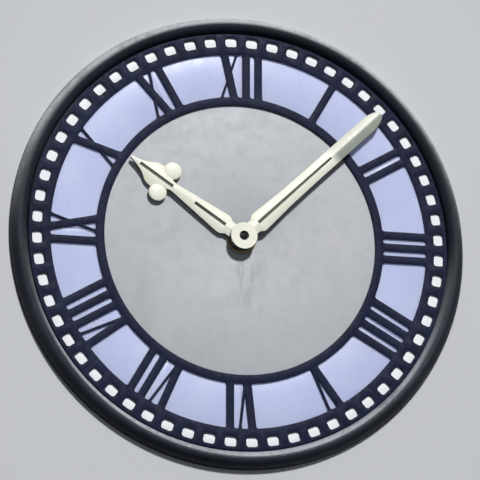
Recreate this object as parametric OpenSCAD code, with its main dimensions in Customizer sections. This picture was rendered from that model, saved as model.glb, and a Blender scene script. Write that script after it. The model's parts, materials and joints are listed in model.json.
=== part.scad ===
// Skeleton dial of a tower clock: a pierced cast-iron dial in a moulded rim, glazed with opal glass,
// with a painted plate at its centre and a pair of ridged hands that show about eight past ten.
// The rim's back stands on the wall at y = 0, the dial faces -y, and the origin is on the rim's
// outer lip below the dial's centre. A height is a distance forwards from that wall.

/* [Rim] */
// Radius over the outer edge of the rim
rim_r = 815; // [812:1:830]
// Width of the rounded moulding, from its outer foot to its inner foot
moulding_w = 60; // [54:1:62]
// Height of the moulding's crest
crest_h = 46; // [40:1:56]
// Thickness of the rim's iron
rim_wall = 11; // [8:1:14]
// Number of studs that hold the rim to the wall
stud_count = 8; // [6:2:12]
// Radius of each stud hole
stud_hole_r = 6.5; // [5:0.5:8]

/* [Casting] */
// Height of the casting's front face
cast_h = 26; // [24:1:30]
// Thickness of the casting
cast_t = 9; // [8:1:12]
// Outer radius of the minute track
track_out_r = 751; // [745:1:753]
// Inner radius of the minute track, where the numerals end
track_in_r = 674; // [668:1:678]
// Radius of the circle through the middles of the minute windows
window_r = 720; // [718:1:722]
// Width of a minute window along the track
window_w = 42; // [36:1:44]
// Height of a minute window across the track
window_h = 35; // [30:1:36]
// Radius of a minute window's corners
window_corner_r = 10; // [4:1:14]
// Outer radius of the inner ring
ring_out_r = 516; // [510:1:520]
// Inner radius of the inner ring
ring_in_r = 486; // [480:1:488]
// Bevel along the front edges of the rings and the numerals
cast_bevel = 3; // [1:0.5:4]
// Thickness of each lug where two sections of the track are bolted together
lug_t = 9; // [6:0.5:10]

/* [Numerals] */
// Width of a thick stroke
stroke_w = 27; // [20:1:28]
// Width of a thin stroke
hairline_w = 9; // [8:1:12]
// Width of a V or an X
letter_w = 62; // [58:1:66]
// Gap between two letters of a numeral
letter_gap = 17; // [15:1:22]

/* [Glazing] */
// Thickness of the opal glass and of the centre plate
glass_t = 6; // [4:0.5:7]
// Gap left between two sheets of glass
glass_gap = 1; // [0.5:0.1:2]
// Thickness of the rings that hold the glass in from behind
retainer_t = 6; // [4:1:8]

/* [Hands] */
// Length of the minute hand from the centre to its tip
minute_len = 696; // [670:1:700]
// Length of the hour hand from the centre to its tip
hour_len = 480; // [460:1:484]
// Height of the hour hand's back
hour_back_h = 31; // [30:1:34]
// Height of the minute hand's back
minute_back_h = 48; // [48:1:54]
// Thickness of a hand at its edges
blade_edge_t = 3.5; // [3:0.5:5]
// Thickness of a hand along its ridge
blade_ridge_t = 12; // [9:0.5:12]
// Radius of the two balls on the hour hand
ball_r = 32; // [24:1:34]
// Distance of the balls from the centre of the dial
ball_reach = 332; // [320:1:340]
// Width of the open seam along a hand's ridge
seam_w = 12; // [6:0.5:13]
// Width of the minute hand's seam at its outer end
seam_end_w = 8; // [4:0.5:12]
// Depth of that seam
seam_depth = 4; // [2:0.5:5]
// Radius of the bosses at the centre of the hands
boss_r = 47; // [44:1:50]
// Clock minutes past twelve that the hands show
shown_minutes = 607.7; // [0:0.1:719.9]

/* [Centre] */
// Radius of the minute arbor
arbor_r = 12; // [10:0.5:13]
// Outer radius of the hour pipe
pipe_r = 20; // [18:0.5:22]
// Outer radius of the centre bush
bush_r = 30; // [28:1:34]
// Running clearance of the arbor in the pipe, and of the pipe in the bush
running_gap = 0.06; // [0.02:0.01:0.1]
// Width of the four arms behind the dial
arm_w = 50; // [40:1:60]
// Thickness of the four arms behind the dial
arm_t = 10; // [8:1:14]
// Depth of the rib along each arm
arm_rib_depth = 16; // [8:1:20]

/* [Hidden] */
$fn = 96;
lip_w = 12;
centre_z = rim_r - lip_w / 2;
cast_back_h = cast_h - cast_t;
glass_back_h = cast_back_h - glass_t;
retainer_back_h = glass_back_h - retainer_t;
arm_back_h = retainer_back_h - arm_t;
moulding_r = rim_r - 3 - moulding_w / 2;
moulding_foot_h = 8;
ledge_in_r = track_out_r - 7;
ledge_out_r = 762;
stud_r = 781;
track_rib_r = 694;
ring_rib_r = 500;
rib_w = 6;
rib_gap = 0.5;
lug_in_r = track_rib_r + 14;
lug_out_r = ledge_in_r - 10;
lug_bolt_r = 4;
lug_bolt_h = 4;
lug_back_h = -4;
section_count = 4;
section_turn = 360 / section_count;
section_start = 48;
minutes_per_section = 15;
hour_front_h = hour_back_h + blade_ridge_t;
pipe_back_h = -95;
arbor_back_h = -140;
bush_back_h = -39;
pipe_end_r = pipe_r - 2;
pipe_end_len = 49;
arbor_end_r = arbor_r - 2;
arbor_end_len = 42;
bush_nut_t = 14;
hub_r = 64;
arm_rib_w = 10;
boss_front_h = 66;
recess_r = 17;
recess_h = 53;
neck_half_w = 26;
shoulder_half_w = 37;
seam_start = 74;
seam_end = 440;
shaft_seam_end = 205;
head_seam_start = 300;
minute_angle = 6 * (shown_minutes % 60);
hour_angle = 0.5 * shown_minutes;
NUMERALS = ["XII", "I", "II", "III", "IIII", "V", "VI", "VII", "VIII", "IX", "X", "XI"];

// Turns the flat drawing of the dial, with its heights along z, to stand on the wall
module on_wall() {
    translate([0, 0, centre_z])
        rotate([90, 0, 0])
            children();
}

// Turns what is drawn at twelve o'clock to an angle counted clockwise
module clockwise(angle) {
    rotate([0, 0, -angle])
        children();
}

// A flat ring between two radii and two heights
module flat_ring(inner_r, outer_r, low_h, high_h) {
    translate([0, 0, low_h])
        difference() {
            cylinder(r = outer_r, h = high_h - low_h);
            translate([0, 0, -1])
                cylinder(r = inner_r, h = high_h - low_h + 2);
        }
}

// A part of a flat ring, centred on twelve o'clock
module ring_sector(inner_r, outer_r, low_h, high_h, sweep) {
    rotate([0, 0, 90 - sweep / 2])
        rotate_extrude(angle = sweep)
            translate([inner_r, low_h])
                square([outer_r - inner_r, high_h - low_h]);
}

// Points along the moulding's round face, from its outer foot over the crest to its inner foot
function moulding_arc(half_w, top_h, steps = 24) = [
    for (i = [0 : steps])
        [
            moulding_r + half_w * cos(180 * i / steps),
            moulding_foot_h + (top_h - moulding_foot_h) * sin(180 * i / steps)
        ]
];

// The rim's section: a hollow moulding on an outer lip, with a ledge under the casting's edge
module rim_section() {
    difference() {
        union() {
            polygon(concat([[rim_r, 0], [rim_r, moulding_foot_h]],
                moulding_arc(moulding_w / 2, crest_h), [[moulding_r - moulding_w / 2, 0]]));
            translate([ledge_in_r, glass_back_h])
                square([ledge_out_r - ledge_in_r, glass_t]);
        }
        polygon(concat([[rim_r - lip_w, -1]],
            [[rim_r - lip_w, moulding_foot_h]],
            moulding_arc(moulding_w / 2 - rim_wall, crest_h - rim_wall),
            [[ledge_out_r, moulding_foot_h], [ledge_out_r, -1]]));
        translate([ledge_in_r - 1, -1])
            square([ledge_out_r - ledge_in_r + 2, glass_back_h + 1]);
    }
}

// The rim, with a boss inside the moulding round each of the holes for the wall's studs
module rim() color("#2b2d3a") on_wall() {
    difference() {
        union() {
            rotate_extrude($fn = 180)
                rim_section();
            for (i = [0 : stud_count - 1])
                clockwise((i + 0.5) * 360 / stud_count)
                    translate([0, stud_r, 0])
                        cylinder(r = 15, h = crest_h - rim_wall + 1);
        }
        for (i = [0 : stud_count - 1])
            clockwise((i + 0.5) * 360 / stud_count)
                translate([0, stud_r, -1])
                    cylinder(r = stud_hole_r, h = 26, $fn = 32);
    }
}

// The opening of one minute window, with round corners
module window_opening() {
    side_w = window_w - 2 * window_corner_r;
    side_h = window_h - 2 * window_corner_r;
    depth = cast_t + 2;
    translate([0, window_r, cast_back_h - 1]) {
        translate([-window_w / 2, -side_h / 2, 0])
            cube([window_w, side_h, depth]);
        translate([-side_w / 2, -window_h / 2, 0])
            cube([side_w, window_h, depth]);
        for (sx = [-1, 1], sy = [-1, 1])
            translate([sx * side_w / 2, sy * side_h / 2, 0])
                cylinder(r = window_corner_r, h = depth, $fn = 24);
    }
}

// The section of the minute track, with a bevel along its outer edge and a rib at its back
module track_profile() {
    polygon([
        [track_in_r, cast_back_h], [track_rib_r - rib_w / 2, cast_back_h],
        [track_rib_r - rib_w / 2, glass_back_h], [track_rib_r + rib_w / 2, glass_back_h],
        [track_rib_r + rib_w / 2, cast_back_h], [track_out_r, cast_back_h],
        [track_out_r, cast_h - cast_bevel], [track_out_r - cast_bevel, cast_h], [track_in_r, cast_h]
    ]);
}

// A lug with a round end and a bolt hole, on the right of twelve o'clock, at the back of the casting
module joint_lug() {
    half_w = (lug_out_r - lug_in_r) / 2;
    middle_r = (lug_in_r + lug_out_r) / 2;
    round_h = lug_back_h + half_w;
    translate([0, middle_r, 0])
        rotate([90, 0, 90])
            difference() {
                union() {
                    translate([-half_w, round_h, 0])
                        cube([2 * half_w, cast_back_h - round_h, lug_t]);
                    translate([0, round_h, 0])
                        cylinder(r = half_w, h = lug_t, $fn = 48);
                }
                translate([0, lug_bolt_h, -1])
                    cylinder(r = lug_bolt_r, h = lug_t + 2, $fn = 32);
            }
}

// A quarter of the minute track, with its windows between the minute bars, and at its back a rib and
// two lugs that bolt it to the next quarters
module track_section(number) color("#15182a") on_wall() {
    clockwise(section_start + section_turn * (number - 1) - section_turn / 2) {
        difference() {
            rotate([0, 0, 90 - section_turn / 2])
                rotate_extrude(angle = section_turn, $fn = 180)
                    track_profile();
            for (i = [0 : minutes_per_section - 1])
                clockwise((i - (minutes_per_section - 1) / 2) * 6)
                    window_opening();
        }
        clockwise(-section_turn / 2)
            joint_lug();
        clockwise(section_turn / 2)
            mirror([1, 0, 0])
                joint_lug();
    }
}

// Four curved strips of opal glass behind the minute windows, which end clear of the lugs
module track_glass() color("#eef2fb") on_wall() {
    end_gap = 2 * (lug_t + glass_gap);
    for (number = [1 : section_count])
        clockwise(section_start + section_turn * (number - 1) - section_turn / 2)
            ring_sector(track_rib_r + rib_w / 2 + rib_gap, ledge_in_r - 2, glass_back_h, cast_back_h,
                section_turn - end_gap / track_rib_r * 180 / PI);
}

// The ring round the centre, with a bevel along its inner edge, and a rib at its back between the
// glass and the centre plate
module inner_ring() color("#15182a") on_wall() {
    rotate_extrude($fn = 180)
        polygon([
            [ring_in_r, cast_back_h], [ring_rib_r - rib_w / 2, cast_back_h],
            [ring_rib_r - rib_w / 2, glass_back_h], [ring_rib_r + rib_w / 2, glass_back_h],
            [ring_rib_r + rib_w / 2, cast_back_h], [ring_out_r, cast_back_h], [ring_out_r, cast_h],
            [ring_in_r + cast_bevel, cast_h], [ring_in_r, cast_h - cast_bevel]
        ]);
}

// A bevelled stroke of a numeral that leans from one place at its foot to another at its head
module stroke(foot_x, head_x, width) {
    lean = atan((head_x - foot_x) / (track_in_r - ring_out_r));
    overrun = ring_out_r - ring_in_r;
    side = width / 2 * cos(lean);
    bevel = min(cast_bevel, side - 1.5);
    intersection() {
        translate([foot_x, ring_out_r, cast_back_h])
            rotate([-90, 0, -lean])
                translate([0, 0, -overrun])
                    linear_extrude(track_in_r - ring_out_r + 2 * overrun)
                        polygon([
                            [-side, 0], [side, 0], [side, bevel - cast_t], [side - bevel, -cast_t],
                            [bevel - side, -cast_t], [-side, bevel - cast_t]
                        ]);
        ring_sector(ring_out_r, track_in_r, cast_back_h - 1, cast_h + 1, 50);
    }
}

function letter_width(letter) = letter == "I" ? stroke_w : letter_w;

// How far the first letters of a numeral reach, with the gaps after them
function reach(letters, count) = count == 0 ? 0 :
    reach(letters, count - 1) + letter_width(letters[count - 1]) + letter_gap;

// One letter of a numeral, with its middle at a distance to the right of the numeral's own
module letter(name, middle) {
    lean = letter_w / 2 - stroke_w / 2;
    thin = letter_w / 2 - hairline_w / 2;
    if (name == "I")
        stroke(middle, middle, stroke_w);
    if (name == "V") {
        stroke(middle, middle - lean, stroke_w);
        stroke(middle + stroke_w / 2 - hairline_w / 2, middle + thin, hairline_w);
    }
    if (name == "X") {
        stroke(middle + lean, middle - lean, stroke_w);
        stroke(middle - thin, middle + thin, hairline_w);
    }
}

// A Roman numeral, which stands upright with its head outwards and joins the two rings
module numeral(hour) color("#15182a") on_wall() {
    letters = NUMERALS[hour % 12];
    total = reach(letters, len(letters)) - letter_gap;
    clockwise(30 * hour)
        for (i = [0 : len(letters) - 1])
            letter(letters[i], reach(letters, i) + (letter_width(letters[i]) - total) / 2);
}

// A sheet of opal glass that spans from one numeral to the next
module pane(hour) color("#cfd3f2") on_wall() {
    clockwise(30 * hour + 15)
        ring_sector(ring_rib_r + rib_w / 2 + rib_gap, track_rib_r - rib_w / 2 - rib_gap,
            glass_back_h, cast_back_h, 30 - glass_gap / ring_rib_r * 180 / PI);
}

// The plain plate inside the inner ring
module centre_plate() color("#c3c7c6") on_wall()
    flat_ring(bush_r, ring_rib_r - rib_w / 2 - rib_gap, glass_back_h, cast_back_h, $fn = 180);

module outer_retainer() color("#4a4c54") on_wall()
    flat_ring(ledge_in_r - 7, ledge_out_r - 4, retainer_back_h, glass_back_h, $fn = 180);

module middle_retainer() color("#4a4c54") on_wall()
    flat_ring(track_rib_r - 11, track_rib_r + 11, retainer_back_h, glass_back_h, $fn = 180);

module inner_retainer() color("#4a4c54") on_wall()
    flat_ring(ring_rib_r - 12, ring_rib_r + 12, retainer_back_h, glass_back_h, $fn = 180);

// An arm with round ends and a tapered rib down its back, towards twelve o'clock
module back_arm() {
    end_r = ring_rib_r - 12;
    translate([-arm_w / 2, 0, arm_back_h])
        cube([arm_w, end_r, arm_t]);
    translate([0, end_r, arm_back_h])
        cylinder(r = arm_w / 2, h = arm_t, $fn = 64);
    rotate([90, 0, 90])
        translate([0, 0, -arm_rib_w / 2])
            linear_extrude(arm_rib_w)
                polygon([
                    [hub_r - 4, arm_back_h + 1], [hub_r - 4, arm_back_h - arm_rib_depth],
                    [end_r - arm_w, arm_back_h - 4], [end_r - arm_w / 2, arm_back_h + 1]
                ]);
}

// Four ribbed arms across the back that meet in a hub and carry the bush
module back_arms() color("#3a3c44") on_wall() {
    difference() {
        union() {
            for (turn = [0 : 90 : 270])
                clockwise(45 + turn)
                    back_arm();
            translate([0, 0, arm_back_h])
                cylinder(r = hub_r, h = arm_t);
        }
        translate([0, 0, arm_back_h - 1])
            cylinder(r = bush_r, h = arm_t + 2);
    }
}

module centre_bush() color("#8f7a4a") on_wall() {
    difference() {
        union() {
            translate([0, 0, bush_back_h])
                cylinder(r = bush_r, h = cast_back_h - bush_back_h);
            translate([0, 0, cast_back_h])
                cylinder(r = bush_r + 24, h = 5);
        }
        translate([0, 0, bush_back_h - 1])
            cylinder(r = pipe_r + running_gap, h = 100);
    }
}

module bush_nut() color("#4a4c54") on_wall() {
    translate([0, 0, arm_back_h - bush_nut_t])
        difference() {
            cylinder(r = bush_r + 16, h = bush_nut_t, $fn = 6);
            translate([0, 0, -1])
                cylinder(r = bush_r, h = bush_nut_t + 2);
        }
}

// The hour pipe, turned down at its back end to carry the hour wheel
module hour_pipe() color("#8a8d92") on_wall()
    difference() {
        union() {
            translate([0, 0, pipe_back_h + pipe_end_len])
                cylinder(r = pipe_r, h = hour_front_h - pipe_back_h - pipe_end_len);
            translate([0, 0, pipe_back_h])
                cylinder(r = pipe_end_r, h = pipe_end_len + 1);
        }
        translate([0, 0, pipe_back_h - 1])
            cylinder(r = arbor_r + running_gap, h = hour_front_h - pipe_back_h + 2);
    }

// The minute arbor, turned down at its back end to carry the minute wheel
module minute_arbor() color("#8a8d92") on_wall() {
    translate([0, 0, arbor_back_h + arbor_end_len])
        cylinder(r = arbor_r, h = recess_h + 3 - arbor_back_h - arbor_end_len);
    translate([0, 0, arbor_back_h])
        cylinder(r = arbor_end_r, h = arbor_end_len + 1);
}

// Points along a curve from one end to the other, drawn towards two points between them
function curve(a, b, c, d, steps = 8) = [
    for (i = [0 : steps])
        let (t = i / steps, s = 1 - t)
            s * s * s * a + 3 * s * s * t * b + 3 * s * t * t * c + t * t * t * d
];

// Cuts a flat outline out of a long bar with a ridge along its middle, and opens seams in the ridge,
// each from its start to its end with a width at both
module ridged(back_h, seams) {
    reach_r = 90;
    ridge_r = 40;
    translate([0, 0, back_h])
        difference() {
            intersection() {
                linear_extrude(blade_ridge_t)
                    children();
                rotate([90, 0, 180])
                    linear_extrude(minute_len + 10)
                        polygon([
                            [-reach_r, 0], [reach_r, 0], [reach_r, blade_edge_t],
                            [ridge_r, blade_edge_t], [0, blade_ridge_t],
                            [-ridge_r, blade_edge_t], [-reach_r, blade_edge_t]
                        ]);
            }
            for (seam = seams)
                translate([0, 0, blade_ridge_t - seam_depth])
                    linear_extrude(seam_depth + 1)
                        both_sides([[seam[2] / 2, seam[0]], [seam[3] / 2, seam[1]]]);
        }
}

// An outline with two like sides, from the points along its right side
module both_sides(side) {
    count = len(side);
    polygon(concat(side, [for (i = [count - 1 : -1 : 0]) [-side[i][0], side[i][1]]]));
}

// The right side of a hand where it leaves its boss: a neck that swells to a round shoulder
function shoulder() = concat(
    [[neck_half_w, 20]],
    curve([neck_half_w, 54], [neck_half_w, 66], [shoulder_half_w, 64], [shoulder_half_w, 84])
);

// A flat ball with a domed face, as thick at its edge as a hand
module ball(back_h) {
    dome_h = blade_ridge_t - 2 - blade_edge_t;
    translate([0, 0, back_h])
        rotate_extrude($fn = 64)
            polygon(concat(
                [[0, 0], [ball_r, 0]],
                [for (i = [0 : 8]) [ball_r * cos(90 * i / 8), blade_edge_t + dome_h * sin(90 * i / 8)]]
            ));
}

// The hour hand: a tapered shaft, and a head with a ball on each side and a point that narrows in a
// double curve
module hour_hand() color("#f1f0dc") on_wall() {
    waist = [16, 292];
    point_foot = [44, 350];
    point_waist = [34, 402];
    ball_x = 47.5;
    difference() {
        union() {
            clockwise(hour_angle) {
                ridged(hour_back_h, [
                    [seam_start, shaft_seam_end, seam_w, seam_w],
                    [head_seam_start, seam_end, seam_w, seam_w]
                ])
                    both_sides(concat(
                        shoulder(), [[36, 100]],
                        curve(waist, [14, 322], [38, 324], point_foot),
                        curve(point_foot, [46, 372], [44, 390], point_waist),
                        curve(point_waist, [22, 414], [12, 440], [3, hour_len])
                    ));
                for (side = [-1, 1])
                    translate([side * ball_x, ball_reach, 0])
                        ball(hour_back_h);
            }
            translate([0, 0, hour_back_h - 4])
                cylinder(r = boss_r - 1, h = blade_ridge_t + 4);
        }
        translate([0, 0, hour_back_h - 20])
            cylinder(r = pipe_r, h = 60);
    }
}

// The minute hand: a long shaft with a blunt tip, and a boss with a recess for its nut
module minute_hand() color("#f1f0dc") on_wall() {
    difference() {
        union() {
            clockwise(minute_angle)
                ridged(minute_back_h, [[seam_start, seam_end, seam_w, seam_end_w]])
                    both_sides(concat(
                        shoulder(),
                        [[31, 200], [29, 330], [29, 640]],
                        curve([28, 650], [25, 668], [17, minute_len - 4], [6, minute_len])
                    ));
            translate([0, 0, minute_back_h])
                cylinder(r = boss_r, h = boss_front_h - minute_back_h);
        }
        translate([0, 0, minute_back_h - 1])
            cylinder(r = arbor_r, h = 60);
        translate([0, 0, recess_h])
            cylinder(r = recess_r, h = 20);
    }
}

module arbor_nut() color("#26272c") on_wall()
    flat_ring(arbor_r, recess_r - 2, recess_h, recess_h + 6);

rim();
inner_ring();
centre_plate();
outer_retainer();
middle_retainer();
inner_retainer();
track_section(1);  // track_section_1
track_section(2);  // track_section_2
track_section(3);  // track_section_3
track_section(4);  // track_section_4
track_glass();
numeral(1);  // numeral_1
numeral(2);  // numeral_2
numeral(3);  // numeral_3
numeral(4);  // numeral_4
numeral(5);  // numeral_5
numeral(6);  // numeral_6
numeral(7);  // numeral_7
numeral(8);  // numeral_8
numeral(9);  // numeral_9
numeral(10);  // numeral_10
numeral(11);  // numeral_11
numeral(12);  // numeral_12
pane(1);  // pane_1
pane(2);  // pane_2
pane(3);  // pane_3
pane(4);  // pane_4
pane(5);  // pane_5
pane(6);  // pane_6
pane(7);  // pane_7
pane(8);  // pane_8
pane(9);  // pane_9
pane(10);  // pane_10
pane(11);  // pane_11
pane(12);  // pane_12
back_arms();
centre_bush();
bush_nut();
hour_pipe();
hour_hand();
minute_arbor();
minute_hand();
arbor_nut();
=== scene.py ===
"""Skeleton dial of a tower clock, with every piece modelled and finished for its picture.

Each piece is drawn face up, as it lies on the bench: the dial's centre is at the origin, twelve
o'clock is towards +y, and a height is the distance in front of the wall. It is stood on the wall
when it is finished, and its place stays in its mesh.
"""
import json
import math

import bmesh
import bpy
from mathutils import Matrix, Vector


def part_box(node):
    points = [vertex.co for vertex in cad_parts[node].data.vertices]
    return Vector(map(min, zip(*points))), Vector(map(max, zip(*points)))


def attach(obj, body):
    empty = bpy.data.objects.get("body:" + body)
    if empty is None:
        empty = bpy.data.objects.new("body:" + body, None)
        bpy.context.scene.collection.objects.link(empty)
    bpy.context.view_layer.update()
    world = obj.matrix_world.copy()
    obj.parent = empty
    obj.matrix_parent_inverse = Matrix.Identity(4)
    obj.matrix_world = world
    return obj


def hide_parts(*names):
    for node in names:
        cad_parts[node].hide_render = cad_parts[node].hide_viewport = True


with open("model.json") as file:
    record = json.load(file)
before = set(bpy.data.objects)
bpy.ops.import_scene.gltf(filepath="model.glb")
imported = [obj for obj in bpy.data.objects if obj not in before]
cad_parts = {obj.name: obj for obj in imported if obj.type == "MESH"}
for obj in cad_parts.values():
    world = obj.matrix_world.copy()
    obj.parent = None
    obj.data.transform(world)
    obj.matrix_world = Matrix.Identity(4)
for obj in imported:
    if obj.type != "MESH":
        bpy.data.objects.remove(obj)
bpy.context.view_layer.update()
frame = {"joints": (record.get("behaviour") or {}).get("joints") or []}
dial_centre = Vector(frame["joints"][0]["pos_m"])

# Studio
# A plain pale wall, open behind the dial as the tower's wall is, and a plain pale floor. Daylight
# comes from above, and the camera looks up at the dial from below and from a little to its left.
rim_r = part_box("rim")[1].x - dial_centre.x
wall_hole_r = rim_r - 0.004
wall_reach = 9.0
wall_grey = (0.62, 0.63, 0.65)
floor_z = -5.0
floor_grey = (0.8, 0.8, 0.8)
camera_azimuth = math.radians(-13.3)
camera_elevation = math.radians(-14.8)
camera_distance = 9.0
view_width = 1.68
film_width = 36
towards_daylight = Vector((0.13, -1, 0.72)).normalized()
daylight_distance = 40


def studio_surface(name, bm, colour):
    """A plain matt surface of the studio, which is no part of the clock."""
    mesh = bpy.data.meshes.new(name)
    bmesh.ops.recalc_face_normals(bm, faces=bm.faces)
    bm.to_mesh(mesh)
    bm.free()
    surface = bpy.data.objects.new(name, mesh)
    bpy.context.scene.collection.objects.link(surface)
    finish = bpy.data.materials.new(name)
    finish.use_nodes = True
    shader = finish.node_tree.nodes["Principled BSDF"]
    shader.inputs["Base Color"].default_value = (*colour, 1)
    shader.inputs["Roughness"].default_value = 0.9
    shader.inputs["Specular IOR Level"].default_value = 0.1
    mesh.materials.append(finish)


wall = bmesh.new()
spoke_ends = [wall.verts.new((radius, 0, dial_centre.z)) for radius in (wall_hole_r, wall_reach)]
spoke = wall.edges.new(spoke_ends)
bmesh.ops.spin(wall, geom=[*spoke_ends, spoke], cent=dial_centre, axis=(0, 1, 0), angle=math.tau,
               steps=180, use_merge=True)
studio_surface("studio_wall", wall, wall_grey)

floor = bmesh.new()
bmesh.ops.create_grid(floor, x_segments=1, y_segments=1, size=wall_reach,
                      matrix=Matrix.Translation((0, 0, floor_z)))
studio_surface("studio_floor", floor, floor_grey)

towards_camera = Vector((
    math.sin(camera_azimuth) * math.cos(camera_elevation),
    -math.cos(camera_azimuth) * math.cos(camera_elevation),
    math.sin(camera_elevation),
))
camera = bpy.data.objects.new("camera", bpy.data.cameras.new("camera"))
bpy.context.scene.collection.objects.link(camera)
camera.location = dial_centre + towards_camera * camera_distance
camera.rotation_mode = "QUATERNION"
camera.rotation_quaternion = towards_camera.to_track_quat("Z", "Y")
camera.data.sensor_width = film_width
camera.data.lens = film_width * camera_distance / view_width
bpy.context.scene.camera = camera


def lamp(name, kind, place, power):
    """Hangs a lamp that looks at the dial."""
    light = bpy.data.lights.new(name, kind)
    light.energy = power
    holder = bpy.data.objects.new(name, light)
    bpy.context.scene.collection.objects.link(holder)
    holder.location = place
    holder.rotation_mode = "QUATERNION"
    holder.rotation_quaternion = (Vector(place) - dial_centre).to_track_quat("Z", "Y")
    return light


daylight = lamp("daylight", "SPOT", dial_centre + towards_daylight * daylight_distance, power=60500)
daylight.spot_size = math.radians(8.8)
daylight.spot_blend = 0.15
daylight.shadow_soft_size = 2.0
lamp("front_fill", "AREA", (-1.6, -6, 1.2), power=9).size = 3.5
lamp("back_fill", "AREA", (-2.4, 4.5, 3.2), power=130).size = 3

sky = bpy.data.worlds.new("sky")
bpy.context.scene.world = sky
sky.use_nodes = True
sky_tree = sky.node_tree
backdrop = sky_tree.nodes.new("ShaderNodeBackground")
backdrop.inputs["Color"].default_value = (0.9, 0.91, 0.93, 1)
skylight = sky_tree.nodes["Background"]
skylight.inputs["Color"].default_value = (0.8, 0.87, 1.0, 1)
skylight.inputs["Strength"].default_value = 0.11
what_ray = sky_tree.nodes.new("ShaderNodeLightPath")
shows_backdrop = what_ray.outputs["Is Camera Ray"]
for kind in ("Is Glossy Ray", "Is Transmission Ray"):
    either = sky_tree.nodes.new("ShaderNodeMath")
    either.operation = "MAXIMUM"
    sky_tree.links.new(shows_backdrop, either.inputs[0])
    sky_tree.links.new(what_ray.outputs[kind], either.inputs[1])
    shows_backdrop = either.outputs[0]
sky_mix = sky_tree.nodes.new("ShaderNodeMixShader")
sky_tree.links.new(shows_backdrop, sky_mix.inputs["Fac"])
sky_tree.links.new(skylight.outputs[0], sky_mix.inputs[1])
sky_tree.links.new(backdrop.outputs[0], sky_mix.inputs[2])
sky_tree.links.new(sky_mix.outputs[0], sky_tree.nodes["World Output"].inputs["Surface"])

bpy.context.scene.view_settings.view_transform = "Standard"

# Rim
# A cast-iron moulding in one ring, hollow at its back, with an outer lip on the wall, a ledge
# inside that carries the dial, and a boss round each hole for the wall's studs. Its dark paint
# is laid over in pale grey on its upward faces, most of all high on the dial: part dust, and part
# painted light for the sky's light that those faces catch.
ledge_in_r = 0.744
ledge_out_r = 0.762
glass_back_h = 0.011
glass_front_h = 0.017
moulding_r = 0.782
moulding_half_w = 0.030
moulding_foot_h = 0.008
crest_h = 0.046
rim_wall = 0.011
channel_in_r = ledge_out_r + 0.001
lip_r = rim_r - 0.0004
lip_w = 0.012
cast_overlap = 0.001
stud_r = 0.781
stud_hole_r = 0.0065
stud_boss_r = 0.015
stud_boss_h = crest_h - rim_wall + cast_overlap
stud_depth = 0.025
stud_count = 8
on_wall = Matrix.Translation(dial_centre) @ Matrix.Rotation(math.radians(90), 4, "X")


def closed_outline(bm, places):
    """Joins points in a closed line. Gives the points and the edges between them."""
    points = [bm.verts.new(place) for place in places]
    return points, [bm.edges.new((points[i - 1], points[i])) for i in range(len(points))]


def turned(bm, section, middle=(0, 0), steps=240):
    """Turns a closed half section of (radius, height) points about an upright axis."""
    before = set(bm.verts)
    x, y = middle
    points, edges = closed_outline(bm, [(x + radius, y, height) for radius, height in section])
    bmesh.ops.spin(bm, geom=points + edges, cent=(x, y, 0), axis=(0, 0, 1), angle=math.tau,
                   steps=steps, use_merge=True)
    bmesh.ops.remove_doubles(bm, verts=[v for v in bm.verts if v not in before], dist=1e-6)


def arch(middle_r, half_w, foot_h, rise, steps, sweep=math.pi):
    """Points over a rounded form from its outer foot: right over it, or only up to its top."""
    turns = [sweep * i / steps for i in range(steps + 1)]
    return [(middle_r + half_w * math.cos(turn), foot_h + rise * math.sin(turn)) for turn in turns]


def bevelled(bm, geom, width, segments, affect="EDGES", clamp=False):
    """Rounds edges or corners with an even width."""
    return bmesh.ops.bevel(bm, geom=geom, offset=width, offset_type="OFFSET", segments=segments,
                           profile=0.5, affect=affect, clamp_overlap=clamp, material=-1)


def eased(bm, width, sharper_than=50, only=lambda edge: True):
    """Rounds the sharp edges of a piece, and marks the middle of each as worn."""
    worn = bm.verts.layers.float.new("worn")
    sharp = [
        e for e in bm.edges
        if len(e.link_faces) == 2 and e.calc_face_angle(0) > math.radians(sharper_than) and only(e)
    ]
    rounded = bevelled(bm, sharp, width, segments=2, clamp=True)
    bevel_faces = set(rounded["faces"])
    for v in rounded["verts"]:
        if bevel_faces.issuperset(v.link_faces):
            v[worn] = 1


def noise(tree, scale, detail=4, roughness=0.55, stretch=(1, 1, 1)):
    """A cloudy pattern on the piece's own coordinates, from 0 to 1."""
    place = tree.nodes.new("ShaderNodeTexCoord")
    mapping = tree.nodes.new("ShaderNodeMapping")
    mapping.inputs["Scale"].default_value = stretch
    pattern = tree.nodes.new("ShaderNodeTexNoise")
    pattern.inputs["Scale"].default_value = scale
    pattern.inputs["Detail"].default_value = detail
    pattern.inputs["Roughness"].default_value = roughness
    tree.links.new(place.outputs["Object"], mapping.inputs["Vector"])
    tree.links.new(mapping.outputs["Vector"], pattern.inputs["Vector"])
    return pattern.outputs["Fac"]


def between(tree, value, low, high, to_low=0.0, to_high=1.0):
    """Maps a value's range to another, held at both ends."""
    spread = tree.nodes.new("ShaderNodeMapRange")
    spread.interpolation_type = "SMOOTHSTEP"
    tree.links.new(value, spread.inputs["Value"])
    ends = {"From Min": low, "From Max": high, "To Min": to_low, "To Max": to_high}
    for name, number in ends.items():
        spread.inputs[name].default_value = number
    return spread.outputs["Result"]


def reckoned(tree, operation, first, second):
    """Arithmetic on two values, of which the second may be a plain number."""
    step = tree.nodes.new("ShaderNodeMath")
    step.operation = operation
    tree.links.new(first, step.inputs[0])
    if isinstance(second, (int, float)):
        step.inputs[1].default_value = second
    else:
        tree.links.new(second, step.inputs[1])
    return step.outputs[0]


def times(tree, first, second):
    return reckoned(tree, "MULTIPLY", first, second)


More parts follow.
